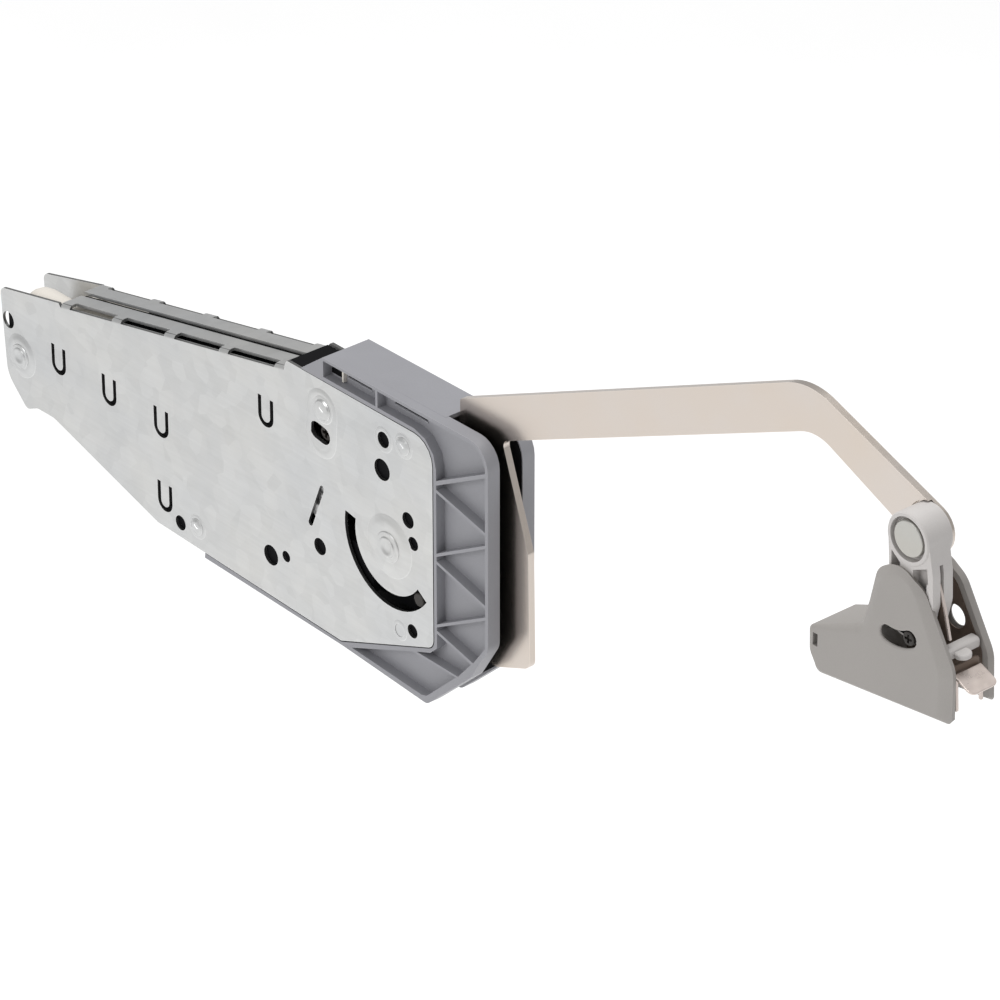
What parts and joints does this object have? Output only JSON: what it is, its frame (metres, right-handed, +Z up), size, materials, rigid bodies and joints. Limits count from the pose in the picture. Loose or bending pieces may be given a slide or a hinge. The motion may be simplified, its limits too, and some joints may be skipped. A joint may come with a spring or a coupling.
{
  "type": "lift-up flap stay",
  "caption": "Spring-loaded lift-up flap stay: folded steel body with plastic nose, cranked lift arm, door link and clip-on door bracket.",
  "frame": {"origin": "where the main pivot axis meets the face that bears on the cabinet side panel", "axes": "+X forward to the door, +Z up, +Y out through the bearing face into the side panel"},
  "size_m": [0.5262, 0.0241, 0.2035],
  "materials": {
    "zinc_sheet": "galvanised sheet, faint spangle",
    "grey_housing": "fine satin moulding, mid blue-grey",
    "nickel_arm": "warm nickel plating, satin",
    "bright_steel": "bright zinc plating",
    "dark_steel": "dark oiled steel",
    "spring_steel": "oiled spring wire",
    "white_plastic": "off-white moulding",
    "black_plastic": "black satin moulding",
    "link_plastic": "light grey satin moulding",
    "cover_plastic": "warm mid-grey satin moulding",
    "yellow_zinc": "warm plated spring sheet"
  },
  "bodies": {
    "housing": {"near_side_plate": "zinc_sheet", "far_side_plate": "zinc_sheet", "front_housing_near": "grey_housing", "front_housing_far": "grey_housing", "main_pivot_pin": "zinc_sheet", "rear_pivot_pin": "zinc_sheet", "upper_rivet": "zinc_sheet", "lower_rivet": "zinc_sheet", "front_rivet": "zinc_sheet", "rear_spring_seat": "white_plastic", "upper_guide_rod": "bright_steel", "lower_guide_rod": "bright_steel", "damper_body": "white_plastic", "adjuster_spindle": "bright_steel", "upper_spring": "spring_steel", "lower_spring": "spring_steel"},
    "yoke": {"spring_yoke": "dark_steel"},
    "damper_plunger": {"damper_rod": "bright_steel"},
    "force_dial": {"force_screw": "dark_steel"},
    "force_pointer": {"adjuster_nut": "bright_steel"},
    "arm": {"lift_arm": "nickel_arm", "drive_pin": "dark_steel", "hub_spacer_near": "black_plastic", "hub_spacer_far": "black_plastic", "door_pin": "bright_steel"},
    "link": {"door_link": "link_plastic", "link_blade": "bright_steel"},
    "tilt_dial": {"tilt_screw": "dark_steel"},
    "bracket": {"bracket_cover": "cover_plastic", "bracket_base": "bright_steel", "bracket_crossbar": "link_plastic", "tilt_pin": "bright_steel"},
    "release": {"release_lever": "yellow_zinc"}
  },
  "joints": [
    {"name": "arm_lift", "type": "hinge", "parent": "housing", "child": "arm", "pos_m": [0, -0.011, 0], "axis": [0, 1, 0], "range_deg": [0, 110]},
    {"name": "yoke_slide", "type": "slide", "parent": "housing", "child": "yoke", "axis": [-1, 0, 0], "range_m": [0, 0.0356], "deforming": ["upper_spring", "lower_spring"]},
    {"name": "damper_slide", "type": "slide", "parent": "housing", "child": "damper_plunger", "axis": [-1, 0, 0], "range_m": [0, 0.012]},
    {"name": "force_turn", "type": "hinge", "parent": "housing", "child": "force_dial", "pos_m": [-0.0366, -0.018, 0.0312], "axis": [0, 1, 0], "range_deg": [-720, 720]},
    {"name": "force_pointer_slide", "type": "slide", "parent": "housing", "child": "force_pointer", "axis": [0.3732, 0, 0.9277], "range_m": [-0.002, 0.002]},
    {"name": "link_swing", "type": "hinge", "parent": "arm", "child": "link", "pos_m": [0.261, -0.017, 0.1175], "axis": [0, 1, 0], "range_deg": [-170, 40]},
    {"name": "bracket_tilt", "type": "hinge", "parent": "link", "child": "bracket", "pos_m": [0.2568, -0.0134, 0.0951], "axis": [0, 1, 0], "range_deg": [-6, 0]},
    {"name": "tilt_screw_turn", "type": "hinge", "parent": "link", "child": "tilt_dial", "pos_m": [0.2642, -0.02, 0.082], "axis": [0, 1, 0], "range_deg": [-180, 180]},
    {"name": "release_press", "type": "hinge", "parent": "bracket", "child": "release", "pos_m": [0.2816, -0.0134, 0.0744], "axis": [0, 1, 0], "range_deg": [-8, 4], "stiffness_Nm_per_rad": 0.02}
  ],
  "couplings": [
    {"joint": "yoke_slide", "follows": "arm_lift", "m_per_rad": 0.018543},
    {"joint": "force_pointer_slide", "follows": "force_turn", "m_per_rad": 0.00015915}
  ]
}
